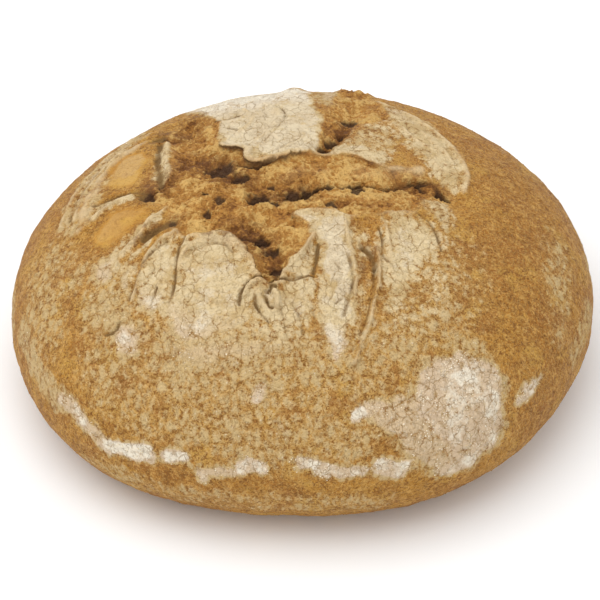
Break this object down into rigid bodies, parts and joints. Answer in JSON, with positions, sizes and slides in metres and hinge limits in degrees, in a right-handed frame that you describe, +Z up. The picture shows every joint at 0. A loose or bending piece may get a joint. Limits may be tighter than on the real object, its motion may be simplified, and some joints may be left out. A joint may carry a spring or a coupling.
{
  "type": "round wholemeal loaf",
  "caption": "Low round hearth loaf of wholemeal bread with a burst, torn crown, curled floury crust plates and a flat base.",
  "frame": {"origin": "on the flat base, under the middle of the loaf's bounding box", "axes": "+Z up through the crown, -Y towards the front with the V-shaped tear, +X to the right seen from the front"},
  "size_m": [0.2406, 0.2378, 0.0879],
  "materials": {
    "crust": "matt, floury baked crust with rough golden-brown torn crumb"
  },
  "bodies": {
    "root": {"loaf": "crust"}
  },
  "joints": []
}
